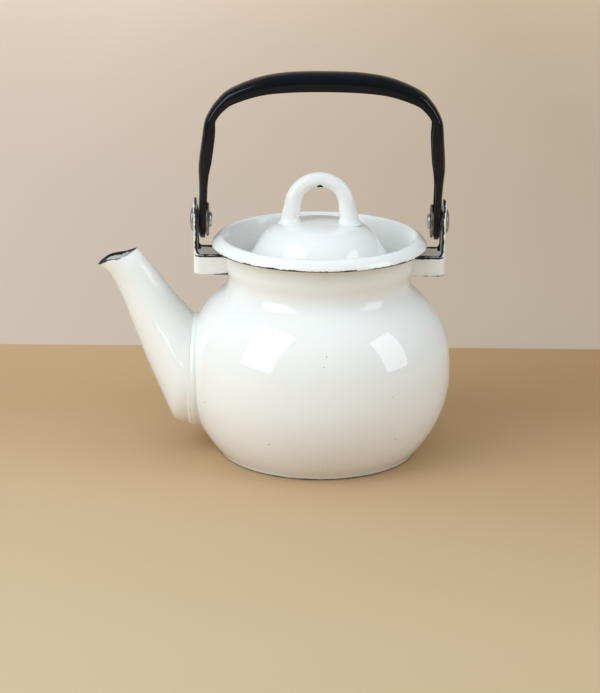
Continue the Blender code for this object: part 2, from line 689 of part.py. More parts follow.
def main():
    """Build every piece of the kettle."""
    clear_scene()
    parts = make_collection("enamel_tea_kettle")
    cutters = make_collection("cutters")
    white = make_material("white_enamel", WHITE_ENAMEL, 0.12)
    black = make_material("black_enamel", BLACK_ENAMEL, 0.1)
    steel = make_material("bright_steel", BRIGHT_STEEL, 0.3, 1.0)

    envelope = make_envelope(cutters)
    make_kettle_body(parts, cutters, white)
    make_spout(parts, envelope, white)
    make_lid(parts, cutters, white)
    make_handle(parts, cutters, black)
    for end, side in (("front", -1), ("rear", 1)):
        make_bracket(end + "_bracket", side, parts, cutters, envelope, white)
        make_rivet(end + "_rivet", side, parts, steel)
        make_washer(end + "_inner_washer", side, INNER_WASHER_RADIUS, INNER_WASHER_X,
                    INNER_WASHER_THICKNESS, parts, steel)
        make_washer(end + "_outer_washer", side, OUTER_WASHER_RADIUS, OUTER_WASHER_X,
                    OUTER_WASHER_THICKNESS, parts, steel)


main()
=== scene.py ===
"""Looks of an enamelled steel tea kettle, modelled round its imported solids.

Metres, +Z up. The spout points along -X and the handle swings about an axis along X.
"""

import json
import math

import bmesh
import bpy
from bpy.props import FloatProperty, FloatVectorProperty, IntProperty, PointerProperty
from mathutils import Matrix, Vector, kdtree


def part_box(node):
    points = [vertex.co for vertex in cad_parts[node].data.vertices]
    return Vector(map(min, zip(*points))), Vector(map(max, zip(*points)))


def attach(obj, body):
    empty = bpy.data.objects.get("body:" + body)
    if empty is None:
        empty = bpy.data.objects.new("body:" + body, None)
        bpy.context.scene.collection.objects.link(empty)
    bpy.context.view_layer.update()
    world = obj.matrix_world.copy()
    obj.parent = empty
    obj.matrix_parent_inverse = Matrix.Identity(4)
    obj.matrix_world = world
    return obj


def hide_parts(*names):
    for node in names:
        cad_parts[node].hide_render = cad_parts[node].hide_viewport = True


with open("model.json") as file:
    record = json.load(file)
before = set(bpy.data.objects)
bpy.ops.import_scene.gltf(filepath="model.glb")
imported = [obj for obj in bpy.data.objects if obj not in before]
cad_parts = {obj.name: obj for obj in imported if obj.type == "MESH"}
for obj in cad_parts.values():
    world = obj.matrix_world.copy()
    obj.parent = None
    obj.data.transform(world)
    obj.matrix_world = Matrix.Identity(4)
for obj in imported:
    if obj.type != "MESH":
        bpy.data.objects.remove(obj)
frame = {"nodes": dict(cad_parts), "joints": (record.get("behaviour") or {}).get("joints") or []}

bl_info = {
    "name": "Enamel Tea Kettle",
    "version": (1, 0, 0),
    "blender": (4, 5, 0),
    "location": "3D View > Sidebar > Kettle",
    "description": "Models an enamelled tea kettle with a bail handle and a lift-off lid",
    "category": "Add Mesh",
}

MM = 0.001


def length(name, description, default):
    """A setting that is a length."""
    return FloatProperty(name=name, description=description, default=default, unit="LENGTH")


def tint(name, description, default):
    """A setting that is a colour."""
    return FloatVectorProperty(name=name, description=description, default=default, subtype="COLOR", size=3)


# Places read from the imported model
BODY_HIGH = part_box("kettle_body")[1]
LID_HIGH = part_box("lid_shell")[1]
LOOP_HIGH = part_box("lid_loop")[1]
HANDLE_LOW, HANDLE_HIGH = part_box("handle")
BRACKET_LOW, BRACKET_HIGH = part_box("rear_bracket")
RIVET_LOW, RIVET_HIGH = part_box("rear_rivet")
HINGE_Z = next(joint for joint in frame["joints"] if joint["name"] == "handle_swing")["pos_m"][2]
SIDES = (("front", -1), ("rear", 1))

# The bracket's sheet: its thickness, the radius of its bends and the width of its strap
BRACKET_SHEET, BRACKET_BEND, STRAP_WIDTH = 1.5 * MM, 4.5 * MM, 11.5 * MM

# What the attribute of bare edges and painted shade holds at most, where neither is near
FAR_FROM_EDGE = 5.0 * MM


class VesselSizes(bpy.types.PropertyGroup):
    """Sizes of the vessel, from the flat base to the drooping rim."""

    belly_radius: length("Belly radius", "Radius of the belly at its widest line", BODY_HIGH.y)
    widest_height: length("Widest line", "Height of the belly's widest line", 0.0482)
    rise_above: length("Rise above", "Upper half height of the belly's curve", 0.0662)
    drop_below: length("Drop below", "Lower half height of the belly's curve", 0.0733)
    neck_radius: length("Neck radius", "Outer radius of the neck", 0.0546)
    fillet_reach: length("Waist reach", "How far out the waist's hollow begins", 0.0042)
    fillet_rise: length("Waist rise", "Height of the waist's hollow", 0.0087)
    seat_height: length("Seat height", "Height of the foot of the lid's seat", 0.1090)
    seat_flare: length("Seat flare", "How far the lid's seat widens", 0.0016)
    seat_rise: length("Seat rise", "Height of the lid's seat", 0.0060)
    crest_outset: length("Crest outset", "From the neck's bore to the rim's crest", 0.0052)
    edge_outset: length("Edge outset", "From the neck's bore to the rim's raw edge", 0.0108)
    edge_drop: length("Edge drop", "How far the raw edge hangs below the crest", 0.0053)
    wall: length("Wall", "Thickness of the enamelled sheet", 0.0013)
    foot_radius: length("Foot radius", "Radius of the recess in the underside", 0.0500)
    foot_recess: length("Foot recess", "Depth of the recess in the underside", 0.0007)
    spout_hole: length("Spout opening", "Radius of the opening behind the spout", 0.0160)
    steps: IntProperty(name="Steps", description="Faces round a turned piece", default=160, min=12)


class SpoutSizes(bpy.types.PropertyGroup):
    """Sizes of the spout."""

    root_radius: length("Root radius", "Radius of the spout where it meets the belly", 0.0329)
    reach: length("Reach", "From the root to the tip of the mouth", 0.0593)
    heel_reach: length("Heel reach", "From the root to the heel of the mouth", 0.0365)
    tip_rise: length("Tip rise", "Height of the tip above the belly's widest line", 0.0661)
    heel_rise: length("Heel rise", "Height of the heel above the belly's widest line", 0.0760)
    mouth_half_width: length("Mouth half width", "Half the width of the mouth", 0.0073)
    lip_wave: length("Lip wave", "How far the mouth's edge waves up and down", 0.0012)
    sides: IntProperty(name="Sides", description="Faces round the spout", default=72, min=12)


class HandleSizes(bpy.types.PropertyGroup):
    """Sizes of the bail handle and its pivots."""

    rise: length("Rise", "From the pivot to the top of the bow", HANDLE_HIGH.z - HINGE_Z)
    half_span: length("Half span", "From the middle to a leg's outer face", 0.07181)
    lean: length("Lean", "How far the bow leans to the rear", 0.0026)
    depth: length("Depth", "Depth of the channel in the bow", 0.0105)
    width: length("Width", "Width of the channel in the bow", 0.0180)
    sheet: length("Sheet", "Thickness of the channel's sheet", 0.0013)
    tongue_drop: length("Tongue drop", "From the pivot to the leg's end", HINGE_Z - HANDLE_LOW.z)
    bore_radius: length("Bore radius", "Radius of the holes in the legs", 0.0028)


class LidSizes(bpy.types.PropertyGroup):
    """Sizes of the lid and its loop."""

    flange_radius: length("Flange radius", "Outer radius of the flange", LID_HIGH.x)
    flange_width: length("Flange width", "Width of the flat flange", 0.0074)
    flange_fillet: length("Flange fillet", "Radius between the flange and the dome", 0.0020)
    crown_rise: length("Crown rise", "From the flange to the crown", 0.0254)
    crown_peak: length("Crown peak", "How far the crown's middle stands above the packed crown", 0.0020)
    shoulder_radius: length("Shoulder pull", "Radius that the crown's curve heads for", 0.0390)
    flank_radius: length("Flank pull", "Radius that the flank's curve comes from", 0.0300)
    flank_drop: length("Flank drop", "Depth below the crown of the flank's pull", 0.0064)
    loop_radius: length("Loop radius", "Radius of the loop's centre line", 0.0162)
    foot_spread: length("Foot spread", "From the middle to the centre of a foot", 0.0175)
    tube_top: length("Tube at the top", "Radius of the tube at its top", 0.0045)
    tube_foot: length("Tube at the foot", "Radius of the tube at its feet", 0.0056)
    foot_weld: length("Foot weld", "How far the weld spreads round a foot", 0.0018)
    vent_radius: length("Vent radius", "Radius of the vent under the loop's top", 0.0015)


class Finishes(bpy.types.PropertyGroup):
    """Colours and gloss of the enamels and the steel."""

    white: tint("White enamel", "Colour of the white enamel", (0.865, 0.862, 0.830))
    cream: tint("Cream shade", "Warmer shade in the white enamel", (0.855, 0.845, 0.790))
    black: tint("Black enamel", "Colour of the black enamel", (0.0045, 0.005, 0.0065))
    iron: tint("Raw iron", "Colour of the bare edges", (0.010, 0.012, 0.016))
    steel: tint("Steel", "Colour of the rivets", (0.62, 0.62, 0.62))
    old_steel: tint("Darkened steel", "Colour of the washers", (0.30, 0.26, 0.22))
    gloss: FloatProperty(
        name="Enamel roughness", description="Roughness of the enamel", default=0.035, min=0, max=1,
        subtype="FACTOR")
    raw_edge: length("Raw edge", "Mean width of the bare edges", 0.00085)


class StageSettings(bpy.types.PropertyGroup):
    """Floor, lamps and camera."""

    # The four floor colours are painted shade: the floor darkens towards the right and behind the kettle, and
    # the far right colour also holds a painted shadow of the kettle
    floor: tint("Floor", "Colour of the floor near the camera's left", (0.620, 0.467, 0.295))
    floor_shaded_right: tint(
        "Floor at the right", "Colour of the floor near the camera's right", (0.575, 0.410, 0.241))
    floor_shaded_far: tint("Floor far left", "Colour of the floor behind the kettle's left", (0.571, 0.378, 0.196))
    floor_far_right_with_shadow: tint(
        "Floor far right", "Colour of the floor behind the kettle's right", (0.44, 0.265, 0.120))
    backdrop: tint("Backdrop", "Colour of the paler sheet behind the floor", (0.600, 0.485, 0.388))
    # Painted shade: the backdrop's right colour is darker because the sheet is painted as shaded towards the
    # right
    backdrop_shaded_right: tint(
        "Backdrop at the right", "Colour of the right side of the sheet behind the floor",
        (0.458, 0.356, 0.254))
    backdrop_start: length("Backdrop start", "How far behind the kettle the floor ends", 0.199)
    air: tint("Surroundings", "Colour of the light from all round", (0.78, 0.85, 0.92))
    air_level: FloatProperty(
        name="Surroundings level", description="Strength of the light from all round", default=0.63)
    air_above: FloatProperty(
        name="Light from above", description="How much stronger the light from above is", default=0.50)
    air_aside: FloatProperty(
        name="Light from the left", description="How much stronger the light from the left is",
        default=0.25)
    dark_share: FloatProperty(
        name="Dark room", description="How much of the light from all round a gloss loses", default=0.75,
        min=0, max=1, subtype="FACTOR")
    lamp: tint("Lamps", "Colour of the two lamps", (0.86, 0.94, 1.0))
    key_power: FloatProperty(
        name="Left lamp", description="Power of the left softbox", default=12.1, unit="POWER")
    fill_power: FloatProperty(
        name="Right lamp", description="Power of the right softbox", default=7.1, unit="POWER")
    camera_distance: length("Camera distance", "From the kettle's axis to the camera", 1.100)
    camera_height: length("Camera height", "Height of the camera", 0.4114)
    camera_aside: length("Camera aside", "Sideways place of the camera", -0.011)
    camera_dip: FloatProperty(
        name="Camera dip", description="How far the camera looks down", default=math.radians(17.57),
        unit="ROTATION")
    camera_roll: FloatProperty(
        name="Camera roll", description="How far the camera is rolled", default=math.radians(0.5),
        unit="ROTATION")
    camera_lens: FloatProperty(
        name="Lens", description="Focal length in millimetres", default=98.8, subtype="DISTANCE_CAMERA")


# Outline of the spout, root to mouth: forward and up along its lower line, forward and up along its
# upper line, and how much of the way the half width lies from the mouth's to the root's
SPOUT_STATION_SHARES = (
    (0.080, 0.018, 0.106, 0.020, 0.985),
    (0.150, 0.021, 0.146, 0.057, 0.950),
    (0.234, 0.052, 0.183, 0.104, 0.885),
    (0.351, 0.205, 0.290, 0.207, 0.720),
    (0.478, 0.381, 0.424, 0.346, 0.510),
    (0.615, 0.594, 0.585, 0.532, 0.290),
    (0.750, 0.813, 0.768, 0.732, 0.115),
    (0.858, 0.937, 0.890, 0.862, 0.045),
    (0.987, 1.007, 1.010, 0.974, 0.000),
)

# Collar round the spout's root: forward and outward, as shares of the root's radius
COLLAR_SHARES = (
    (-0.090, 0.004),
    (0.000, 0.013),
    (0.035, 0.015),
    (0.070, 0.004),
    (0.100, -0.002),
)

# Line of the handle's outer face from the middle of the bow to above the pivot: across, up, depth
# and width, as shares of the leg's distance, the handle's rise, the bow's depth and its width
HANDLE_STATION_SHARES = (
    (0.000, 1.000, 1.00, 1.00),
    (0.306, 0.992, 0.99, 1.00),
    (0.554, 0.955, 0.89, 1.00),
    (0.779, 0.877, 0.75, 0.98),
    (0.884, 0.797, 0.62, 0.94),
    (0.947, 0.716, 0.56, 0.91),
    (0.974, 0.655, 0.61, 0.91),
    (0.989, 0.554, 0.70, 0.94),
    (1.011, 0.373, 0.69, 0.92),
    (1.004, 0.250, 0.48, 0.85),
    (1.000, 0.120, 0.42, 0.83),
    (1.000, 0.000, 0.42, 0.83),
)


# The softboxes: name, setting of the power, direction from the kettle, distance, and width and height
SOFTBOXES = (
    ("left_softbox", "key_power", (-0.686, -0.479, 0.548), 1.5, (0.85, 1.29)),
    ("right_softbox", "fill_power", (0.864, -0.296, 0.408), 1.6, (0.675, 1.05)),
)

# How the papers turn to their right and far colours, which are painted shade, and how the backdrop glows
# towards its far end, which is painted light:
# change to the metre, and level at the kettle
FLOOR_SHADE_TO_RIGHT, FLOOR_SHADE_TO_FAR = (2.7, 0.45), (2.9, 0.80)
BACKDROP_SHADE_TO_RIGHT, BACKDROP_GLOW = (1.7, 0.5), (0.30, 0.06)


def bezier(start, first, second, end, count):
    """Points along a cubic curve from start, which is left out, to end."""
    points = []
    for index in range(1, count + 1):
        t = index / count
        weights = ((1 - t) ** 3, 3 * (1 - t) ** 2 * t, 3 * (1 - t) * t * t, t ** 3)
        points.append(sum((Vector(knot) * weight for knot, weight
                           in zip((start, first, second, end), weights)), Vector((0, 0))))
    return points


def smooth_keys(keys, per_span):
    """Points on a smooth curve through keys of any width, with so many steps between two keys."""
    points = []
    last = len(keys) - 1
    for index in range(last):
        before, start = keys[max(index - 1, 0)], keys[index]
        end, after = keys[index + 1], keys[min(index + 2, last)]
        for step in range(per_span):
            t = step / per_span
            points.append(tuple(
                0.5 * (2 * b + (c - a) * t + (2 * a - 5 * b + 4 * c - d) * t * t
                       + (3 * b - a - 3 * c + d) * t ** 3)
                for a, b, c, d in zip(before, start, end, after)))
    points.append(tuple(keys[last]))
    return points


def offset_line(points, distance):
    """Shift a line of (radius, height) points to the right of its direction if distance is positive."""
    shifted = []
    for index, point in enumerate(points):
        before = Vector(points[max(index - 1, 0)])
        along = (Vector(points[min(index + 1, len(points) - 1)]) - before).normalized()
        shifted.append(Vector((point[0] + distance * along.y, point[1] - distance * along.x)))
    return shifted


# How square the belly's outline is above and below its widest line: 2 is an ellipse
UPPER_POWER, LOWER_POWER = 2.39, 1.94


def belly_radius_at(vessel, height):
    """Outer radius of the belly at a height."""
    rise = height - vessel.widest_height
    reach, power = (vessel.rise_above, UPPER_POWER) if rise > 0 else (vessel.drop_below, LOWER_POWER)
    return vessel.belly_radius * (1 - (abs(rise) / reach) ** power) ** (1 / power)


def shoulder_height(vessel):
    """Height at which the belly ends and the waist's hollow begins."""
    share = (vessel.neck_radius + vessel.fillet_reach) / vessel.belly_radius
    return vessel.widest_height + vessel.rise_above * (1 - share ** UPPER_POWER) ** (1 / UPPER_POWER)


def belly_line(vessel):
    """Outer line of the vessel from the foot's edge to the top of the neck."""
    corner_rise, corner_inset = 3.0 * MM, 4.6 * MM
    start = Vector((belly_radius_at(vessel, corner_rise) - corner_inset, 0))
    foot = Vector((belly_radius_at(vessel, corner_rise), corner_rise))
    corner = Vector((foot.x - corner_inset / 3, 0))
    points = [start] + bezier(start, corner, corner, foot, 8)
    top, rows = shoulder_height(vessel), 56
    for index in range(1, rows + 1):
        height = corner_rise + (top - corner_rise) * (1 - math.cos(math.pi * index / rows)) / 2
        points.append(Vector((belly_radius_at(vessel, height), height)))
    shoulder, before = points[-1], points[-2]
    steepness = (shoulder.y - before.y) / (before.x - shoulder.x)
    bend = Vector((vessel.neck_radius, shoulder.y + vessel.fillet_reach * steepness))
    neck = Vector((vessel.neck_radius, top + vessel.fillet_rise))
    near_arc = 0.63
    points += bezier(shoulder, shoulder.lerp(bend, near_arc), neck.lerp(bend, near_arc), neck, 16)
    return points


def rim_line(vessel):
    """Inner line of the neck's top: the lid's seat, the funnel, the crest and the drooping lip."""
    bore = vessel.neck_radius - vessel.wall
    neck = Vector((bore, vessel.seat_height))
    seat = neck + Vector((vessel.seat_flare, vessel.seat_rise))
    crest = Vector((bore + vessel.crest_outset, BODY_HIGH.z))
    edge = Vector((bore + vessel.edge_outset, BODY_HIGH.z - vessel.edge_drop))
    lip = vessel.edge_outset - vessel.crest_outset
    points = [neck, neck.lerp(seat, 0.5), seat]
    points += bezier(seat, seat + Vector((0, (crest.y - seat.y) * 0.7)), crest - Vector((lip / 2, 0)),
                     crest, 24)
    points += bezier(crest, crest + Vector((lip * 0.4, 0)),
                     Vector((edge.x - lip * 0.2, crest.y - vessel.edge_drop * 0.45)), edge, 18)
    return points


def lid_line(lid):
    """Upper line of the lid from the crown to the edge of the flange."""
    flange_top = LID_HIGH.z - lid.crown_rise
    centre = Vector((0, LID_HIGH.z + lid.crown_peak))
    foot = Vector((lid.flange_radius - lid.flange_width, flange_top))
    points = [centre]
    points += bezier(centre, Vector((lid.shoulder_radius, centre.y)),
                     Vector((lid.flank_radius, LID_HIGH.z - lid.flank_drop)), foot, 52)[:-2]
    last = points[-1]
    turn_in = foot + Vector((lid.flange_fillet, 0))
    points += bezier(last, foot, foot, turn_in, 6)
    points.append(Vector((lid.flange_radius, flange_top)))
    return points


def rolled_edge(middle, side, away):
    """Points of the half round edge between a sheet's two faces, from the face that side leads to."""
    turns = [math.pi * index / 6 for index in range(1, 6)]
    return [middle + side * math.cos(turn) + away * math.sin(turn) for turn in turns]


def spin_profile(points, steps, closed=False):
    """A bmesh turned about Z from a line of (radius, height) points."""
    shape = bmesh.new()
    knots = [shape.verts.new((radius, 0, height)) for radius, height in points]
    lines = [shape.edges.new(pair) for pair in zip(knots, knots[1:])]
    if closed:
        lines.append(shape.edges.new((knots[-1], knots[0])))
    bmesh.ops.spin(shape, geom=knots + lines, cent=(0, 0, 0), axis=(0, 0, 1), angle=math.tau,
                   steps=steps, use_merge=True)
    bmesh.ops.remove_doubles(shape, verts=shape.verts, dist=0.002 * MM)
    bmesh.ops.recalc_face_normals(shape, faces=shape.faces)
    return shape


def sweep(shape, lines, places):
    """Extrude a section's edges from each place to the next. Returns each place's vertices."""
    knots = list({knot for line in lines for knot in line.verts})
    bmesh.ops.transform(shape, matrix=places[0], verts=knots)
    rows = [knots]
    for before, after in zip(places, places[1:]):
        made = bmesh.ops.extrude_edge_only(shape, edges=lines)["geom"]
        knots = [item for item in made if isinstance(item, bmesh.types.BMVert)]
        fresh = set(knots)
        lines = [item for item in made if isinstance(item, bmesh.types.BMEdge)
                 and item.verts[0] in fresh and item.verts[1] in fresh]
        bmesh.ops.transform(shape, matrix=after @ before.inverted(), verts=knots)
        rows.append(knots)
    return rows


def frame_matrix(across, up, along, place):
    """A matrix that takes X, Y and Z to three directions of any length, at a place."""
    matrix = Matrix((across, up, along)).transposed().to_4x4()
    matrix.translation = place
    return matrix


def new_piece(context, name, shape, materials):
    """Put a finished bmesh in the scene as a named object."""
    mesh = bpy.data.meshes.new(name)
    shape.to_mesh(mesh)
    shape.free()
    piece = bpy.data.objects.new(name, mesh)
    context.scene.collection.objects.link(piece)
    for material in materials:
        mesh.materials.append(material)
    return piece


def white_piece(context, name, shape):
    """Put a finished bmesh in the scene as an object in white enamel."""
    return new_piece(context, name, shape, [white_enamel(context.scene.kettle_finishes)])


def apply_modifiers(piece):
    """Replace a piece's mesh by what its modifiers make of it."""
    bpy.context.view_layer.update()
    evaluated = piece.evaluated_get(bpy.context.evaluated_depsgraph_get())
    mesh = bpy.data.meshes.new_from_object(evaluated)
    old = piece.data
    piece.modifiers.clear()
    piece.data = mesh
    mesh.name = piece.name
    bpy.data.meshes.remove(old)


def give_wall(piece, wall, softness, angle):
    """Give a sheet its thickness inwards and round its edges, by a share of the thickness."""
    shell = piece.modifiers.new("wall", "SOLIDIFY")
    shell.thickness = wall
    shell.offset = -1
    rounding = piece.modifiers.new("rounding", "BEVEL")
    rounding.width = wall * softness
    rounding.segments = 3
    rounding.limit_method = "ANGLE"
    rounding.angle_limit = angle
    apply_modifiers(piece)


def drill(context, piece, radius, start, end):
    """Cut a round hole through a piece from one point to another."""
    start, end = Vector(start), Vector(end)
    line = end - start
    shape = bmesh.new()
    place = Matrix.Translation((start + end) / 2) @ line.to_track_quat("Z", "Y").to_matrix().to_4x4()
    bmesh.ops.create_cone(shape, cap_ends=True, segments=48, radius1=radius, radius2=radius,
                          depth=line.length, matrix=place)
    cutter = new_piece(context, piece.name + "_drill", shape, ())
    cut = piece.modifiers.new("hole", "BOOLEAN")
    cut.operation = "DIFFERENCE"
    cut.solver = "EXACT"
    cut.object = cutter
    apply_modifiers(piece)
    mesh = cutter.data
    bpy.data.objects.remove(cutter)
    bpy.data.meshes.remove(mesh)


def mark_raw_and_shade(piece, distance):
    """Store on each corner how far it lies from the bare edge or from painted shade, in millimetres, at most
    5.
    """
    mesh = piece.data
    store = mesh.attributes.new("raw_edge", "FLOAT", "CORNER")
    values = []
    for face in mesh.polygons:
        for corner in face.loop_indices:
            place = mesh.vertices[mesh.loops[corner].vertex_index].co
            values.append(min(distance(place, face), FAR_FROM_EDGE) / MM)
    store.data.foreach_set("value", values)


def dress(piece, body, nodes=(), sharp=math.radians(35)):
    """Shade a finished piece, tie it to its body and hide the solids that it stands for."""
    piece.data.shade_smooth()
    piece.data.set_sharp_from_angle(angle=sharp)
    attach(piece, body)
    if nodes:
        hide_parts(*nodes)
    return piece


def add_node(tree, kind, settings=None, **sockets):
    """Add a shader node. Sockets take a value or another node's output."""
    node = tree.nodes.new(kind)
    for name, value in (settings or {}).items():
        setattr(node, name, value)
    for name, value in sockets.items():
        socket = node.inputs[int(name[1:])] if name[0] == "i" and name[1:].isdigit() else node.inputs[
            name.replace("_", " ")]
        if isinstance(value, bpy.types.NodeSocket):
            tree.links.new(value, socket)
        else:
            socket.default_value = value
    return node


def maths(tree, operation, first, second=0.0, third=0.0, clamp=False):
    """The output of a Math node."""
    node = add_node(tree, "ShaderNodeMath", {"operation": operation, "use_clamp": clamp},
                    i0=first, i1=second, i2=third)
    return node.outputs[0]


def scaled(tree, value, factor, addend, clamp=False):
    """The output of a Math node that multiplies a value and adds to it."""
    return maths(tree, "MULTIPLY_ADD", value, factor, addend, clamp)


def noise(tree, place, scale, detail=2.0, roughness=0.5):
    """The value of a Noise texture at a place, with so many waves to the metre."""
    node = add_node(tree, "ShaderNodeTexNoise", None, Vector=place, Scale=scale, Detail=detail,
                    Roughness=roughness)
    return node.outputs["Fac"]


def mix_colour(tree, share, first, second):
    """The output of a Mix node between two colours."""
    node = add_node(tree, "ShaderNodeMix", {"data_type": "RGBA"})
    for socket, value in ((node.inputs[0], share), (node.inputs[6], first), (node.inputs[7], second)):
        if isinstance(value, bpy.types.NodeSocket):
            tree.links.new(value, socket)
        else:
            socket.default_value = value
    return node.outputs[2]


def spots(tree, place, scale, radius):
    """One in round spots that lie scattered, and zero elsewhere. Scale is per metre."""
    cells = add_node(tree, "ShaderNodeTexVoronoi", {"feature": "F1"}, Vector=place, Scale=scale)
    return maths(tree, "LESS_THAN", cells.outputs["Distance"], radius)


def relief(tree, height, strength=1.0):
    """The normal that a height in millimetres gives."""
    node = add_node(tree, "ShaderNodeBump", None, Strength=strength, Distance=MM, Height=height)
    return node.outputs["Normal"]


def plug_in(tree, shader, **outputs):
    """Link outputs to a shader's sockets."""
    for name, output in outputs.items():
        tree.links.new(output, shader.inputs[name.replace("_", " ")])


def opaque(colour):
    """A colour with an alpha of one."""
    return (colour[0], colour[1], colour[2], 1.0)


def start_material(name):
    """A new material, its node tree, its Principled shader and its Object coordinates."""
    material = bpy.data.materials.new(name)
    material.use_nodes = True
    tree = material.node_tree
    place = tree.nodes.new("ShaderNodeTexCoord").outputs["Object"]
    return material, tree, tree.nodes["Principled BSDF"], place


ENAMEL_IOR = 1.52


def white_enamel(finishes):
    """Glossy white enamel: slightly wavy, with rare pits, and bare iron along the raw edges; the same dark
    iron is painted shade at the foot's contact with the floor and in the loop's vent.
    """
    material = bpy.data.materials.get("white_enamel_glaze")
    if material:
        return material
    material, tree, shader, place = start_material("white_enamel_glaze")
    clouds = noise(tree, place, 22.0, 3.0)
    shade = scaled(tree, clouds, 1.6, -0.45, clamp=True)
    colour = mix_colour(tree, shade, opaque(finishes.white), opaque(finishes.cream))

    pit = spots(tree, place, 78.0, 0.026)
    colour = mix_colour(tree, pit, colour, (0.09, 0.075, 0.06, 1.0))

    # Near-black where the attribute marks bare iron along raw edges, and painted shade at the foot's contact
    # and in the loop's vent
    raw = add_node(tree, "ShaderNodeAttribute", {"attribute_name": "raw_edge"}).outputs["Fac"]
    ragged = noise(tree, place, 420.0, 3.0, 0.6)
    broad = noise(tree, place, 95.0, 1.0)
    reach = scaled(tree, ragged, 1.5, finishes.raw_edge / MM - 0.75)
    reach = scaled(tree, broad, 1.3, maths(tree, "SUBTRACT", reach, 0.65))
    gap = maths(tree, "SUBTRACT", reach, raw)
    bare = maths(tree, "MULTIPLY", gap, 9.0, clamp=True)
    thin = scaled(tree, gap, 1.1, 0.8, clamp=True)
    thin = maths(tree, "MULTIPLY", thin, 0.30)
    colour = mix_colour(tree, thin, colour, (0.42, 0.44, 0.40, 1.0))
    colour = mix_colour(tree, bare, colour, opaque(finishes.iron))

    smear = noise(tree, place, 130.0, 4.0, 0.6)
    rough = scaled(tree, smear, 0.02, finishes.gloss - 0.02)
    rough = scaled(tree, bare, 0.35, rough)

    wave = noise(tree, place, 34.0, 1.0)
    peel = noise(tree, place, 520.0, 2.0)
    lift = scaled(tree, wave, 0.16, maths(tree, "MULTIPLY", peel, 0.0022))
    lift = scaled(tree, pit, -0.05, lift)
    lift = scaled(tree, bare, -0.06, lift)
    plug_in(tree, shader, Base_Color=colour, Roughness=rough, Normal=relief(tree, lift))
    shader.inputs["IOR"].default_value = ENAMEL_IOR
    return material


def black_enamel(finishes):
    """Glossy black enamel with a faint wave, fine scratches and greyer wear where hands rub it."""
    material, tree, shader, place = start_material("black_enamel_glaze")
    rub = noise(tree, place, 60.0, 4.0, 0.6)
    share = scaled(tree, rub, 2.2, -1.1, clamp=True)
    colour = mix_colour(tree, share, opaque(finishes.black), (0.013, 0.012, 0.012, 1.0))
    chip = spots(tree, place, 120.0, 0.03)
    colour = mix_colour(tree, chip, colour, (0.20, 0.19, 0.18, 1.0))

    stretched = add_node(tree, "ShaderNodeMapping", None, Vector=place, Scale=(0.15, 1.0, 1.0))
    scratch = noise(tree, stretched.outputs["Vector"], 1400.0, 2.0, 0.6)
    scratch = scaled(tree, scratch, 5.0, -3.1, clamp=True)
    rough = scaled(tree, scratch, 0.16, finishes.gloss - 0.015)
    rough = scaled(tree, share, 0.05, rough)

    wave = noise(tree, place, 70.0, 1.0)
    peel = noise(tree, place, 700.0, 2.0)
    lift = scaled(tree, wave, 0.10, maths(tree, "MULTIPLY", peel, 0.003))
    lift = scaled(tree, chip, -0.05, lift)
    plug_in(tree, shader, Base_Color=colour, Roughness=rough, Normal=relief(tree, lift))
    shader.inputs["IOR"].default_value = ENAMEL_IOR
    shader.inputs["Specular IOR Level"].default_value = 0.28
    shader.inputs["Specular Tint"].default_value = (0.80, 0.88, 1.0, 1.0)
    return material


def worn_steel(name, colour, stain, roughness):
    """Bare steel with hammer marks, stains and fine scratches."""
    material, tree, shader, place = start_material(name)
    patches = noise(tree, place, 380.0, 3.0, 0.6)
    share = scaled(tree, patches, 2.4, -0.9, clamp=True)
    mixed = mix_colour(tree, share, opaque(colour), opaque(stain))
    shader.inputs["Metallic"].default_value = 1.0
    grain = noise(tree, place, 1500.0, 3.0, 0.7)
    rough = scaled(tree, grain, 0.22, roughness - 0.08)
    rough = scaled(tree, share, 0.12, rough)
    dents = add_node(tree, "ShaderNodeTexVoronoi", {"feature": "SMOOTH_F1"}, Vector=place, Scale=420.0)
    lift = scaled(tree, grain, 0.02, maths(tree, "MULTIPLY", dents.outputs["Distance"], 0.10))
    plug_in(tree, shader, Base_Color=mixed, Roughness=rough, Normal=relief(tree, lift, 0.8))
    return material


class KETTLE_OT_vessel(bpy.types.Operator):
    """Turn the vessel: recessed base, round belly, waist, funnel and drooping rim"""

    bl_idname = "kettle.vessel"
    bl_label = "Vessel"

    def execute(self, context):
        vessel = context.scene.kettle_vessel
        low, high = belly_line(vessel), rim_line(vessel)
        under = offset_line(high, vessel.wall)
        recess = vessel.foot_recess
        outer = [Vector((0, recess)), Vector((vessel.foot_radius - 2 * recess, recess))]
        outer += bezier(outer[-1], Vector((vessel.foot_radius - recess, recess)),
                        Vector((vessel.foot_radius - recess, 0)), Vector((vessel.foot_radius, 0)), 5)
        outer += low + under
        middle = (under[-1] + high[-1]) / 2
        away = (high[-1] - high[-2]).normalized()
        side = under[-1] - middle
        away *= side.length
        inner = high[::-1] + offset_line(low, -vessel.wall)[::-1]
        profile = outer + rolled_edge(middle, side, away) + inner + [Vector((0, vessel.wall + recess))]
        piece = white_piece(context, "vessel", spin_profile(profile, vessel.steps))
        drill(context, piece, vessel.spout_hole, (-vessel.belly_radius * 1.1, 0, vessel.widest_height),
              (-vessel.belly_radius / 2, 0, vessel.widest_height))
        tip = middle + away
        foot, worn_foot_and_shadow_height = low[0].x + 1.6 * MM, 2 * MM

        def distance(place, face):
            """How far a point lies from the rim's bare edge, or from the foot's bottom corner, whose dark
            bare iron is partly real wear and partly a painted contact shadow where the base meets the floor.
            """
            radius = math.hypot(place.x, place.y)
            # Painted shadow: the foot's lowest ring is painted dark as bare iron, partly a real worn corner
            # and partly the contact shadow under the base
            if place.z < worn_foot_and_shadow_height:
                return math.hypot(max(foot - radius, 0), place.z) * 1.3
            return math.hypot(radius - tip.x, place.z - tip.y)

        mark_raw_and_shade(piece, distance)
        dress(piece, "kettle", ["kettle_body"])
        return {"FINISHED"}


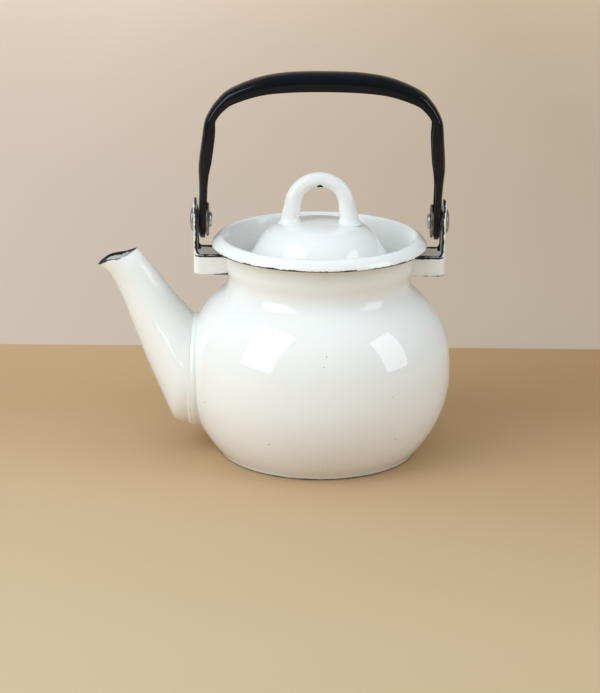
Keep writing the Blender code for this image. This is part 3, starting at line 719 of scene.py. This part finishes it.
def spout_place(spout, vessel, station):
    """Where one section of the spout lies: across its chord, across its width, and its middle."""
    low_out, low_up, high_out, high_up, width = station
    root = -math.sqrt(vessel.belly_radius ** 2 - spout.root_radius ** 2)
    foot = vessel.widest_height - spout.root_radius
    top = vessel.widest_height + spout.root_radius
    low = Vector((root - spout.reach * low_out, 0,
                  foot + (vessel.widest_height + spout.tip_rise - foot) * low_up))
    high = Vector((root - spout.heel_reach * high_out, 0,
                   top + (vessel.widest_height + spout.heel_rise - top) * high_up))
    half_width = spout.mouth_half_width + (spout.root_radius - spout.mouth_half_width) * width
    half_chord = (high - low) / 2
    side = Vector((0, half_width, 0))
    return frame_matrix(half_chord, side, half_chord.cross(side).normalized(), (low + high) / 2)


def collar_station(spout, forward_share, swell_share):
    """A station of the collar, a share of the root's radius forward and outward."""
    forward, swell = forward_share * spout.root_radius, swell_share * spout.root_radius
    return (forward / spout.reach, -swell / (spout.tip_rise + spout.root_radius),
            forward / spout.heel_reach, swell / (spout.heel_rise - spout.root_radius),
            1 + swell / (spout.root_radius - spout.mouth_half_width))


class KETTLE_OT_spout(bpy.types.Operator):
    """Sweep the spout from its collar on the belly to its leaf-shaped mouth"""

    bl_idname = "kettle.spout"
    bl_label = "Spout"

    def execute(self, context):
        vessel, spout = context.scene.kettle_vessel, context.scene.kettle_spout
        keys = [collar_station(spout, *pair) for pair in COLLAR_SHARES] + list(SPOUT_STATION_SHARES)
        stations = smooth_keys(keys, 6)
        places = [spout_place(spout, vessel, station) for station in stations]
        shape = bmesh.new()
        circle = bmesh.ops.create_circle(shape, segments=spout.sides, radius=1.0)["verts"]
        rows = sweep(shape, [line for line in shape.edges], places)
        lip_start = SPOUT_STATION_SHARES[-3][0]
        for station, place, row in zip(stations, places, rows):
            lip = max(0.0, (station[0] - lip_start) / (1 - lip_start))
            back = place.inverted()
            for knot in row:
                unit = back @ knot.co
                pinched = math.copysign(abs(unit.y) ** (1 + 0.45 * lip ** 2), unit.y)
                knot.co = place @ Vector((unit.x, pinched, 0))
                knot.co.z += spout.lip_wave * lip ** 2 * -math.sin(math.pi * unit.x)
        mouth = [knot.co.copy() for knot in rows[-1]]
        bmesh.ops.recalc_face_normals(shape, faces=shape.faces)
        piece = white_piece(context, "spout_shell", shape)
        give_wall(piece, vessel.wall, 0.28, math.radians(55))
        middle = places[-1].translation
        tree = kdtree.KDTree(len(mouth))
        for index, place in enumerate(mouth):
            tree.insert(place + (middle - place).normalized() * vessel.wall, index)
        tree.balance()
        outward = (middle - places[-4].translation).normalized()
        half_chord = places[-1].to_3x3().col[0]

        def distance(place, face):
            """Bare on the mouth's end, a little way in, and outside in places and at the two tips."""
            near, index, gap = tree.find(place)
            if gap > 4.0 * MM:
                return FAR_FROM_EDGE
            along = abs((place - middle).dot(half_chord)) / half_chord.length_squared
            tip = min(max((along - 0.80) / 0.15, 0), 1)
            if face.normal.dot(outward) > 0.55:
                return 0.05 * MM
            depth = max((near - place).dot(outward), 0)
            if face.normal.dot(middle - face.center) > 0:
                return depth * 0.95
            return depth * 1.6 + (0.62 - 0.30 * tip) * MM

        mark_raw_and_shade(piece, distance)
        dress(piece, "kettle", ["spout"])
        return {"FINISHED"}


class KETTLE_OT_brackets(bpy.types.Operator):
    """Round the edges of the two brackets and bed their straps in the neck"""

    bl_idname = "kettle.brackets"
    bl_label = "Brackets"

    def execute(self, context):
        scene = context.scene
        for end, side in SIDES:
            shape = bmesh.new()
            shape.from_mesh(frame["nodes"][end + "_bracket"].data)
            bmesh.ops.remove_doubles(shape, verts=shape.verts, dist=0.01 * MM)
            bmesh.ops.dissolve_limit(shape, angle_limit=math.radians(2), verts=shape.verts, edges=shape.edges)
            self.bed_in_neck(shape, scene.kettle_vessel, side)
            lower = [line for line in shape.edges if all(
                knot.co.z < BRACKET_LOW.z + 0.05 * MM and self.depth(knot.co) < 0.1 * MM
                for knot in line.verts)]
            self.round_edges(shape, lower, 0.85 * MM)
            self.round_edges(shape, [line for line in shape.edges if len(line.link_faces) == 2
                                     and line.calc_face_angle() > math.radians(40)], 0.40 * MM)
            for height in (BRACKET_LOW.z + 1.6 * MM, self.strap_top() - 1.5 * MM):
                bmesh.ops.bisect_plane(shape, geom=shape.verts[:] + shape.edges[:] + shape.faces[:],
                                       dist=0.001 * MM, plane_co=(0, 0, height), plane_no=(0, 0, 1))
            bmesh.ops.recalc_face_normals(shape, faces=shape.faces)
            piece = white_piece(context, end + "_bracket_sheet", shape)
            mark_raw_and_shade(piece, self.edge_distance)
            dress(piece, "kettle", [end + "_bracket"])
        return {"FINISHED"}

    def round_edges(self, shape, lines, width):
        """Round some edges of the sheet."""
        bmesh.ops.bevel(shape, geom=lines, offset=width, offset_type="OFFSET", segments=4, profile=0.5,
                        affect="EDGES", clamp_overlap=True, material=-1)

    def strap_top(self):
        """Height of the strap's upper edge."""
        return BRACKET_LOW.z + STRAP_WIDTH

    def depth(self, place):
        """How deep a point lies in the sheet, from the outer face of the bent strap."""
        across = abs(place.x) - (BRACKET_HIGH.x - BRACKET_BEND)
        aside = abs(place.y) - (BRACKET_HIGH.y - BRACKET_BEND)
        return BRACKET_BEND - math.hypot(max(across, 0), max(aside, 0)) - min(max(across, aside), 0)

    def bed_in_neck(self, shape, vessel, side):
        """Move the strap's ends a little way into the neck's wall."""
        for knot in shape.verts:
            if math.hypot(knot.co.x, knot.co.y) < vessel.neck_radius + 2.6 * MM:
                knot.co.x -= side * 0.8 * MM

    def edge_distance(self, place, face):
        """Bare inside the ear's edge and along the strap's upper edge, and in places along the lower."""
        soft = 0.25 * MM
        depth, below = self.depth(place), self.strap_top() - place.z
        if below < -0.3 * MM or face.center.z > self.strap_top() + 0.2 * MM:
            return FAR_FROM_EDGE if abs(face.normal.x) > 0.9 else max(BRACKET_SHEET - depth - soft, 0) * 0.9
        inward = depth if place.y < 0 else (BRACKET_SHEET - depth) * 0.4
        upper = math.hypot(max(below - soft, 0) * 1.3, max(inward - soft, 0) * 2.6)
        worn = 0.22 if place.x > 0 else 1.3 - 1.3 * max(1 - (abs(place.x) / MM - 56) / 4, 0)
        lower = math.hypot(place.z - BRACKET_LOW.z, depth) + worn * MM
        return min(upper, lower)


class KETTLE_OT_pivots(bpy.types.Operator):
    """Turn the rivets and washers of the handle's two pivots"""

    bl_idname = "kettle.pivots"
    bl_label = "Rivets and washers"

    def execute(self, context):
        finishes = context.scene.kettle_finishes
        bright = worn_steel("rivet_steel", finishes.steel, (0.33, 0.31, 0.29), 0.26)
        dark = worn_steel("washer_steel", finishes.old_steel, (0.10, 0.085, 0.07), 0.34)
        for end, side in SIDES:
            turn = Matrix.Translation((0, 0, HINGE_Z)) @ Matrix.Rotation(side * math.pi / 2, 4, "Y")
            self.turn_piece(context, end + "_rivet", self.rivet_line(), turn, bright, False)
            for kind in ("_inner_washer", "_outer_washer"):
                line = self.washer_line(end + kind)
                self.turn_piece(context, end + kind, line, turn, dark, True)
        return {"FINISHED"}

    def turn_piece(self, context, node, line, turn, material, ring):
        """Turn a line about the pivot's axis and let it stand for its solid."""
        shape = spin_profile(line, 64, ring)
        bmesh.ops.transform(shape, matrix=turn, verts=shape.verts)
        piece = new_piece(context, node + "_turned", shape, [material])
        dress(piece, "kettle", [node])

    def rivet_line(self):
        """Line of a rivet along its axis: outer dome, shank and a peened inner head."""
        head, head_height = RIVET_HIGH.z - HINGE_Z, 2.2 * MM
        shank, inner_head, inner_height = 2.5 * MM, 4.5 * MM, 1.8 * MM
        collar = RIVET_HIGH.x - head_height
        inner = RIVET_LOW.x + inner_height
        line = [Vector((0, RIVET_HIGH.x))]
        for index in range(1, 15):
            turn = math.pi / 2 * index / 14
            line.append(Vector((head * math.sin(turn),
                                collar + 0.5 * MM + (head_height - 0.5 * MM) * math.cos(turn))))
        line += [Vector((head, collar + 0.2 * MM)), Vector((head - 0.2 * MM, collar))]
        line += [Vector((shank, collar)), Vector((shank, inner)), Vector((inner_head - 0.2 * MM, inner))]
        rim = Vector((inner_head, inner - 0.3 * MM))
        foot = Vector((inner_head * 0.35, RIVET_LOW.x))
        line.append(rim)
        line += bezier(rim, Vector((inner_head, inner - inner_height * 0.8)),
                       Vector((inner_head * 0.8, RIVET_LOW.x)), foot, 8)
        line.append(Vector((0, RIVET_LOW.x + 0.25 * MM)))
        return line

    def washer_line(self, node):
        """Section of a washer with slightly rounded corners."""
        low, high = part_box(node)
        near, far = sorted((abs(low.x), abs(high.x)))
        radius, bore, soft = high.z - HINGE_Z, 2.8 * MM, 0.12 * MM
        return [Vector(pair) for pair in (
            (bore, far - soft), (bore + soft, far), (radius - 2 * soft, far), (radius - soft / 2, far - soft),
            (radius, far - 2 * soft), (radius, near + 2 * soft), (radius - soft / 2, near + soft),
            (radius - 2 * soft, near), (bore + soft, near), (bore, near + soft))]


class KETTLE_OT_lid(bpy.types.Operator):
    """Turn the lid: the dome and the flange that sits in the neck"""

    bl_idname = "kettle.lid"
    bl_label = "Lid"

    def execute(self, context):
        lid, vessel = context.scene.kettle_lid, context.scene.kettle_vessel
        line = lid_line(lid)
        under = offset_line(line, vessel.wall)
        under[0] = Vector((0, under[0].y))
        edge = rolled_edge((line[-1] + under[-1]) / 2, Vector((0, vessel.wall / 2)),
                           Vector((vessel.wall * 0.15, 0)))
        piece = white_piece(context, "lid_dome", spin_profile(line + edge + under[::-1], vessel.steps))
        mark_raw_and_shade(piece, lambda place, face: FAR_FROM_EDGE)
        dress(piece, "lid", ["lid_shell"])
        return {"FINISHED"}


class KETTLE_OT_loop(bpy.types.Operator):
    """Sweep the lid's finger loop, its feet spreading into their welds"""

    bl_idname = "kettle.loop"
    bl_label = "Lid loop"

    def execute(self, context):
        lid = context.scene.kettle_lid
        centre_z = LOOP_HIGH.z - lid.tube_top - lid.loop_radius
        crown = LID_HIGH.z + lid.crown_peak / 2
        leg_steps, arch_steps, sunk, leg_height = 16, 40, 0.6 * MM, (centre_z - crown) * 0.55
        heights = [crown - sunk + leg_height * index / leg_steps for index in range(leg_steps)]
        turns = [math.pi * (1 - index / arch_steps) for index in range(arch_steps + 1)]
        path = [Vector((-lid.foot_spread, 0, height)) for height in heights]
        path += [Vector((lid.loop_radius * math.cos(turn), 0, centre_z + lid.loop_radius * math.sin(turn)))
                 for turn in turns]
        path += [Vector((lid.foot_spread, 0, height)) for height in heights[::-1]]
        top = centre_z + lid.loop_radius
        places = []
        for index, point in enumerate(path):
            along = (path[min(index + 1, len(path) - 1)] - path[max(index - 1, 0)]).normalized()
            low = min(max((top - point.z) / (top - crown), 0), 1)
            radius = lid.tube_top + (lid.tube_foot - lid.tube_top) * low ** 1.3
            above_foot = max(point.z - crown, 0)
            radius += lid.foot_weld * math.exp(-above_foot / (1.5 * MM))
            side = Vector((0, radius, 0))
            places.append(frame_matrix(side.cross(along), side, along, point))
        shape = bmesh.new()
        bmesh.ops.create_circle(shape, segments=48, radius=1.0)
        sweep(shape, list(shape.edges), places)
        bmesh.ops.holes_fill(shape, edges=shape.edges, sides=0)
        bmesh.ops.recalc_face_normals(shape, faces=shape.faces)
        piece = white_piece(context, "lid_finger_loop", shape)
        # The vent runs up into the top of the arch, tilted towards the front
        start = Vector((0, -lid.loop_radius * 0.35, centre_z + lid.loop_radius * 0.5))
        line = Vector((0, 0, top)) - start
        drill(context, piece, lid.vent_radius, start, start + line)

        def distance(place, face):
            """Dark in the vent and just round it: painted shade for the hollow loop's dark inside."""
            along = (place - start).project(line)
            if along.length > line.length + 0.3 * MM and along.dot(line) > 0:
                return FAR_FROM_EDGE
            return max((place - start - along).length - lid.vent_radius, 0) * 3

        mark_raw_and_shade(piece, distance)
        dress(piece, "lid", ["lid_loop"])
        return {"FINISHED"}


class KETTLE_OT_handle(bpy.types.Operator):
    """Sweep the bail handle's channel from one tongue over the bow to the other"""

    bl_idname = "kettle.handle"
    bl_label = "Bail handle"

    def execute(self, context):
        handle = context.scene.kettle_handle
        shape = bmesh.new()
        knots = [shape.verts.new(point) for point in self.section()]
        lines = [shape.edges.new(pair) for pair in zip(knots, knots[1:])]
        rows = sweep(shape, lines, self.places(handle))
        for row in (rows[0], rows[-1]):
            bmesh.ops.contextual_create(shape, geom=row)
        bmesh.ops.recalc_face_normals(shape, faces=shape.faces)
        self.face_out(shape)
        piece = new_piece(context, "bail_handle", shape, [black_enamel(context.scene.kettle_finishes)])
        give_wall(piece, handle.sheet, 0.3, math.radians(50))
        drill(context, piece, handle.bore_radius, (-handle.half_span * 1.1, 0, HINGE_Z),
              (handle.half_span * 1.1, 0, HINGE_Z))
        dress(piece, "handle", ["handle"])
        return {"FINISHED"}

    def face_out(self, shape):
        """Turn the faces so that the bow's top faces up."""
        top = max(shape.faces, key=lambda face: face.calc_center_median().z)
        if top.normal.z < 0:
            bmesh.ops.reverse_faces(shape, faces=shape.faces)

    def section(self):
        """Half a channel's outline of one unit each way: a rounded roof over straight sides."""
        roof, power, points = 0.62, 2 / 2.6, []
        for index in range(25):
            turn = math.pi * index / 24
            across = math.copysign(abs(math.cos(turn)) ** power, math.cos(turn))
            points.append(Vector((across, roof - roof * math.sin(turn) ** power, 0)))
        sides = [roof + (1 - roof) * index / 3 for index in (1, 2, 3)]
        near = [Vector((1, down, 0)) for down in sides[::-1]]
        far = [Vector((-1, down, 0)) for down in sides]
        return near + points + far

    def places(self, handle):
        """Where each section of the channel lies."""
        keys = list(HANDLE_STATION_SHARES)
        whole = [(-a, u, d, w) for a, u, d, w in keys[::-1]] + keys[1:]
        stations = smooth_keys(whole, 8)
        line = [Vector((a * handle.half_span + u * handle.lean, 0, HINGE_Z + u * handle.rise))
                for a, u, d, w in stations]
        leg_half = keys[-1][3] * handle.width / 2
        leg_depth = keys[-1][2] * handle.depth
        places = []
        for index, point in enumerate(line):
            along = (line[min(index + 1, len(line) - 1)] - line[max(index - 1, 0)]).normalized()
            places.append(self.section_place(point, along, stations[index][3] * handle.width / 2,
                                             stations[index][2] * handle.depth))
        ends, tip_steps, pulled_in, thinned = [], 11, 0.30, 0.55
        for side in (-1, 1):
            tip = []
            for index in range(tip_steps + 1):
                turn = math.radians(80) * index / tip_steps
                down = handle.tongue_drop - leg_half + leg_half * math.sin(turn)
                fade = 1 - math.cos(turn)
                crown = Vector((side * (handle.half_span - pulled_in * leg_depth * fade), 0, HINGE_Z - down))
                tip.append(self.section_place(crown, Vector((0, 0, -side)), leg_half * math.cos(turn),
                                              leg_depth * (1 - thinned * fade)))
            ends.append(tip)
        return ends[0][::-1] + places + ends[1]

    def section_place(self, crown, along, half_width, depth):
        """A section's matrix from its crown point, its direction, its half width and its depth."""
        inward = Vector((along.z, 0, -along.x))
        return frame_matrix(Vector((0, half_width, 0)), inward * depth, along, crown)


class KETTLE_OT_stage(bpy.types.Operator):
    """Lay the floor and set up the lamps, the surroundings and the camera"""

    bl_idname = "kettle.stage"
    bl_label = "Stage"

    def execute(self, context):
        scene, stage = context.scene, context.scene.kettle_stage
        scene.view_settings.view_transform = "Standard"
        self.lay_floor(context, stage)
        for softbox in SOFTBOXES:
            self.light(context, stage, *softbox)
        self.surround(scene, stage)
        self.add_camera(context, stage)
        return {"FINISHED"}

    def lay_floor(self, context, stage):
        """A floor, and behind it a paler sheet that curves up far away. Painted shade darkens the floor
        towards the right and the back, with a painted shadow of the kettle at the far right, and darkens the
        sheet towards the right; for the camera the sheet glows towards its far end, as painted light.
        """
        start, near, bend_start, bend, height, bend_steps = stage.backdrop_start, -3.0, 2.2, 1.2, 4.0, 12
        rise = [(start, 0), (bend_start, 0)]
        for index in range(1, bend_steps + 1):
            turn = math.pi / 2 * index / bend_steps
            rise.append((bend_start + bend * math.sin(turn), bend - bend * math.cos(turn)))
        rise.append((bend_start + bend, height))
        material, tree, shader, place, axes = self.paper("floor_paper")
        # Painted shade: the floor's colour darkens towards the right and behind the kettle, with a painted
        # kettle shadow at the far right
        right = scaled(tree, axes["X"], *FLOOR_SHADE_TO_RIGHT, clamp=True)
        far = scaled(tree, axes["Y"], *FLOOR_SHADE_TO_FAR, clamp=True)
        near_colour = mix_colour(tree, right, opaque(stage.floor), opaque(stage.floor_shaded_right))
        far_shaded_colour = mix_colour(tree, right, opaque(stage.floor_shaded_far), opaque(stage.floor_far_right_with_shadow))
        colour = self.grained(tree, place, mix_colour(tree, far, near_colour, far_shaded_colour))
        plug_in(tree, shader, Base_Color=colour)
        self.lay_sheet(context, "floor", [(near, 0), (start, 0)], material)
        material, tree, shader, place, axes = self.paper("backdrop_paper")
        # Painted shade: the backdrop darkens towards the right; for the camera it also glows more towards its
        # far end, as painted light
        right = scaled(tree, axes["X"], *BACKDROP_SHADE_TO_RIGHT, clamp=True)
        colour = self.grained(tree, place, mix_colour(tree, right, opaque(stage.backdrop),
                                                      opaque(stage.backdrop_shaded_right)))
        glow = scaled(tree, axes["Y"], *BACKDROP_GLOW, clamp=True)
        seen = tree.nodes.new("ShaderNodeLightPath").outputs["Is Camera Ray"]
        plug_in(tree, shader, Base_Color=colour, Emission_Color=colour,
                Emission_Strength=maths(tree, "MULTIPLY", glow, seen))
        self.lay_sheet(context, "backdrop", rise, material)

    def paper(self, name):
        """A matt material, with its place along each axis."""
        material, tree, shader, place = start_material(name)
        shader.inputs["Roughness"].default_value = 0.9
        shader.inputs["Specular IOR Level"].default_value = 0.2
        axes = add_node(tree, "ShaderNodeSeparateXYZ", None, Vector=place).outputs
        return material, tree, shader, place, axes

    def grained(self, tree, place, colour):
        """A colour with a fine grain."""
        share = maths(tree, "MULTIPLY", noise(tree, place, 900.0, 2.0), 0.035)
        return mix_colour(tree, share, colour, (0.0, 0.0, 0.0, 1.0))

    def lay_sheet(self, context, name, line, material):
        """A broad sheet that follows a line of places along Y and Z, as part of the stage."""
        shape = bmesh.new()
        half_breadth = 4.0
        knots = [shape.verts.new((-half_breadth, back, up)) for back, up in line]
        lines = [shape.edges.new(pair) for pair in zip(knots, knots[1:])]
        made = bmesh.ops.extrude_edge_only(shape, edges=lines)["geom"]
        fresh = [item for item in made if isinstance(item, bmesh.types.BMVert)]
        bmesh.ops.translate(shape, vec=(2 * half_breadth, 0, 0), verts=fresh)
        for face in shape.faces:
            face.normal_update()
            if face.normal.z < -0.01 or (abs(face.normal.z) <= 0.01 and face.normal.y > 0):
                face.normal_flip()
        sheet = new_piece(context, name, shape, [material])
        sheet.data.shade_smooth()

    def light(self, context, stage, name, power, direction, distance, size):
        """A softbox that faces the kettle from a direction."""
        lamp = bpy.data.lights.new(name, "AREA")
        lamp.shape = "RECTANGLE"
        lamp.size, lamp.size_y = size
        lamp.energy = getattr(stage, power)
        lamp.color = stage.lamp
        holder = bpy.data.objects.new(name, lamp)
        target = Vector((0, 0, BODY_HIGH.z / 2))
        direction = Vector(direction).normalized()
        holder.location = target + direction * distance
        holder.rotation_euler = direction.to_track_quat("Z", "Y").to_euler()
        context.scene.collection.objects.link(holder)

    def surround(self, scene, stage):
        """Light from all round, stronger from above and from the left, in a room that gloss shows dark."""
        world = bpy.data.worlds.new("surroundings")
        world.use_nodes = True
        tree = world.node_tree
        path = tree.nodes.new("ShaderNodeLightPath")
        way = tree.nodes.new("ShaderNodeTexCoord").outputs["Generated"]
        parts = add_node(tree, "ShaderNodeSeparateXYZ", None, Vector=way).outputs
        above = maths(tree, "MAXIMUM", parts["Z"], 0.0)
        level = scaled(tree, above, stage.air_above, stage.air_level)
        level = scaled(tree, parts["X"], -stage.air_aside, level)
        dark = maths(tree, "MULTIPLY", path.outputs["Is Glossy Ray"], stage.dark_share)
        level = maths(tree, "MULTIPLY", level, maths(tree, "SUBTRACT", 1.0, dark))
        seen = path.outputs["Is Camera Ray"]
        background = tree.nodes["Background"]
        tree.links.new(mix_colour(tree, seen, opaque(stage.air), opaque(stage.backdrop)),
                       background.inputs["Color"])
        tree.links.new(maths(tree, "MAXIMUM", level, seen), background.inputs["Strength"])
        scene.world = world

    def add_camera(self, context, stage):
        """The camera, at the photograph's height, distance and dip."""
        camera = bpy.data.cameras.new("camera")
        camera.lens = stage.camera_lens
        camera.sensor_fit = "AUTO"
        camera.clip_start, camera.clip_end = 0.01, 50.0
        holder = bpy.data.objects.new("camera", camera)
        place = Matrix.Translation((stage.camera_aside, -stage.camera_distance, stage.camera_height))
        tilt = Matrix.Rotation(math.pi / 2 - stage.camera_dip, 4, "X")
        roll = Matrix.Rotation(stage.camera_roll, 4, "Z")
        holder.matrix_world = place @ tilt @ roll
        context.scene.collection.objects.link(holder)
        context.scene.camera = holder


class KETTLE_PT_sidebar(bpy.types.Panel):
    """Lists the kettle's settings and the operators that model it"""

    bl_label = "Enamel Tea Kettle"
    bl_idname = "KETTLE_PT_sidebar"
    bl_space_type = "VIEW_3D"
    bl_region_type = "UI"
    bl_category = "Kettle"

    def draw(self, context):
        for name, title, kind in SETTINGS:
            box = self.layout.box()
            box.label(text=title)
            for setting in kind.__annotations__:
                box.prop(getattr(context.scene, name), setting)
        for operator in OPERATORS:
            self.layout.operator(operator.bl_idname)


SETTINGS = (
    ("kettle_vessel", "Vessel", VesselSizes),
    ("kettle_spout", "Spout", SpoutSizes),
    ("kettle_handle", "Handle", HandleSizes),
    ("kettle_lid", "Lid", LidSizes),
    ("kettle_finishes", "Finishes", Finishes),
    ("kettle_stage", "Stage", StageSettings),
)
OPERATORS = (
    KETTLE_OT_vessel,
    KETTLE_OT_spout,
    KETTLE_OT_brackets,
    KETTLE_OT_pivots,
    KETTLE_OT_lid,
    KETTLE_OT_loop,
    KETTLE_OT_handle,
    KETTLE_OT_stage,
)


def register():
    """Register the settings, the operators and the panel."""
    for name, title, group in SETTINGS:
        bpy.utils.register_class(group)
        setattr(bpy.types.Scene, name, PointerProperty(type=group))
    for operator in OPERATORS:
        bpy.utils.register_class(operator)
    bpy.utils.register_class(KETTLE_PT_sidebar)


def unregister():
    """Undo what register did."""
    bpy.utils.unregister_class(KETTLE_PT_sidebar)
    for operator in reversed(OPERATORS):
        bpy.utils.unregister_class(operator)
    for name, title, group in reversed(SETTINGS):
        delattr(bpy.types.Scene, name)
        bpy.utils.unregister_class(group)


def main():
    """Model the kettle and set the stage."""
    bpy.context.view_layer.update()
    register()
    bpy.ops.kettle.vessel()
    bpy.ops.kettle.spout()
    bpy.ops.kettle.brackets()
    bpy.ops.kettle.pivots()
    bpy.ops.kettle.lid()
    bpy.ops.kettle.loop()
    bpy.ops.kettle.handle()
    bpy.ops.kettle.stage()
    bpy.context.view_layer.update()


if __name__ == "__main__":
    main()
